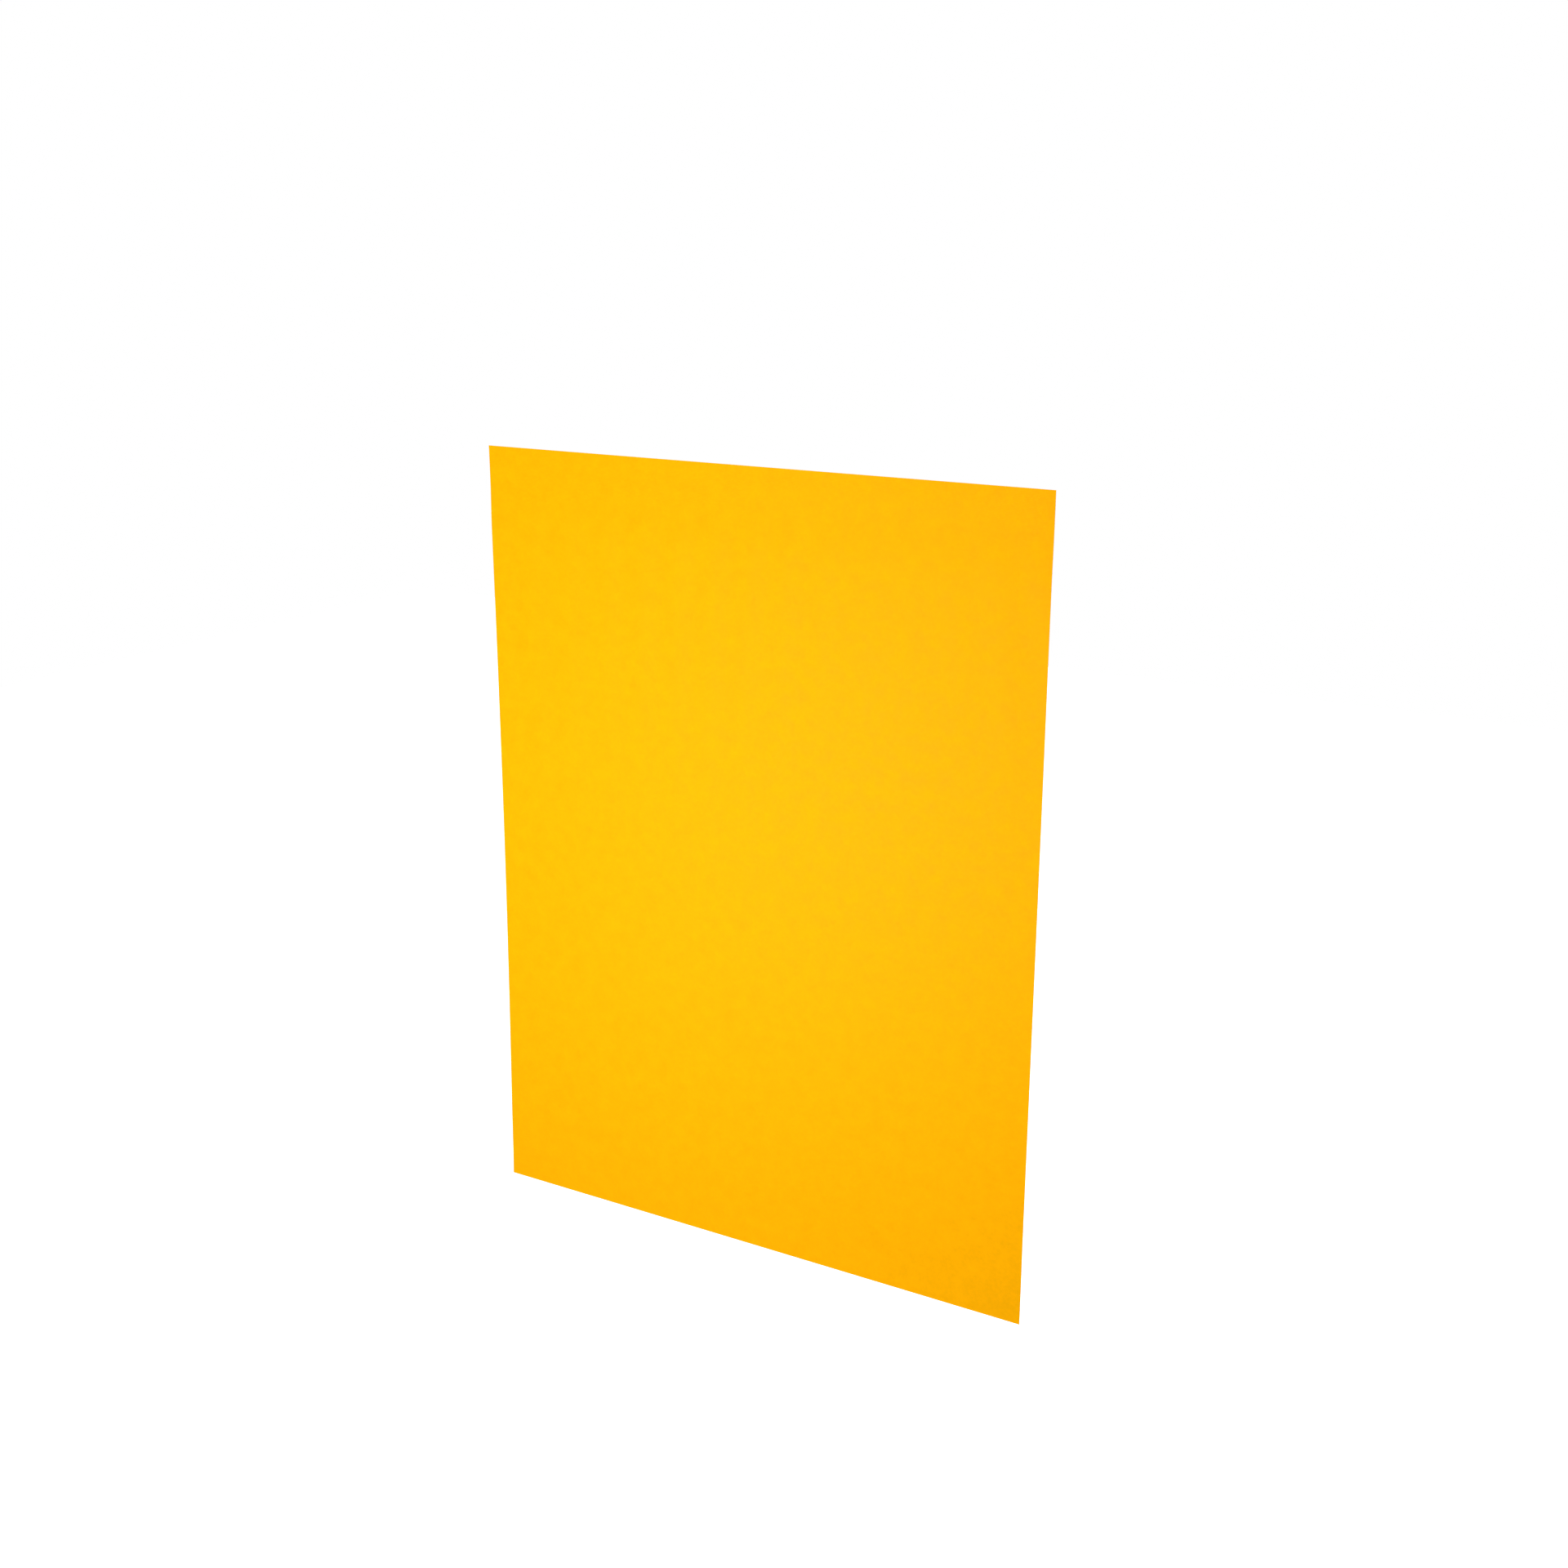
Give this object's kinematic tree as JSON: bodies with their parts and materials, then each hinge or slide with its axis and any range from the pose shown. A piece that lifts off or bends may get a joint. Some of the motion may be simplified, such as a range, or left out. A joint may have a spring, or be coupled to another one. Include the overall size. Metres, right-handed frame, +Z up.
{
  "type": "welding curtain screen",
  "caption": "Flat golden-yellow welding curtain with stiff top and bottom edges, hung by hooks on sleeves that slide on a wall-bracketed round rail behind it.",
  "frame": {"origin": "middle of the centre wall bracket's back face, on the wall", "axes": "+X along the curtain's width, to the right as seen from the room; +Y into the wall; +Z up"},
  "size_m": [1.372, 0.1072, 1.8],
  "materials": {
    "yellow_coated_cloth": "satin, fine pebble, slightly waxy coating on both sides",
    "galvanised_steel": "galvanised, dull spangle",
    "zinc_plate": "bright zinc plate",
    "stainless_steel": "rolled strip, edges broken",
    "black_steel": "black oxide",
    "mill_aluminium": "mill finish",
    "black_nylon": "moulded, satin",
    "grey_rubber": "matt"
  },
  "bodies": {
    "rail": {"rail_tube": "galvanised_steel", "rail_plug_left": "black_nylon", "rail_plug_right": "black_nylon", "stop_collar_left": "zinc_plate", "stop_collar_right": "zinc_plate", "collar_grub_screw_left": "black_steel", "collar_grub_screw_right": "black_steel", "wall_bracket_left": "zinc_plate", "wall_bracket_centre": "zinc_plate", "wall_bracket_right": "zinc_plate", "rail_set_screw_left": "black_steel", "rail_set_screw_centre": "black_steel", "rail_set_screw_right": "black_steel", "bumper_left": "grey_rubber", "bumper_centre": "grey_rubber", "bumper_right": "grey_rubber"},
    "sleeves": {"rail_sleeve_1": "black_nylon", "rail_sleeve_2": "black_nylon", "rail_sleeve_3": "black_nylon", "rail_sleeve_4": "black_nylon"},
    "curtain": {"hanger_hook_1": "stainless_steel", "hanger_hook_2": "stainless_steel", "hanger_hook_3": "stainless_steel", "hanger_hook_4": "stainless_steel", "hook_screw_1": "zinc_plate", "hook_screw_2": "zinc_plate", "hook_screw_3": "zinc_plate", "hook_screw_4": "zinc_plate", "hook_screw_5": "zinc_plate", "hook_screw_6": "zinc_plate", "hook_screw_7": "zinc_plate", "hook_screw_8": "zinc_plate", "top_bar": "mill_aluminium", "weight_bar": "galvanised_steel", "curtain_sheet": "yellow_coated_cloth", "top_pocket": "yellow_coated_cloth", "bottom_pocket": "yellow_coated_cloth", "side_hem_left": "yellow_coated_cloth", "side_hem_right": "yellow_coated_cloth"}
  },
  "joints": [
    {"name": "curtain_slide", "type": "slide", "parent": "rail", "child": "sleeves", "axis": [1, 0, 0], "range_m": [-0.025, 0.025]},
    {"name": "curtain_swing", "type": "hinge", "parent": "sleeves", "child": "curtain", "pos_m": [0, -0.08, 0.042], "axis": [-1, 0, 0], "range_deg": [0, 40]}
  ]
}
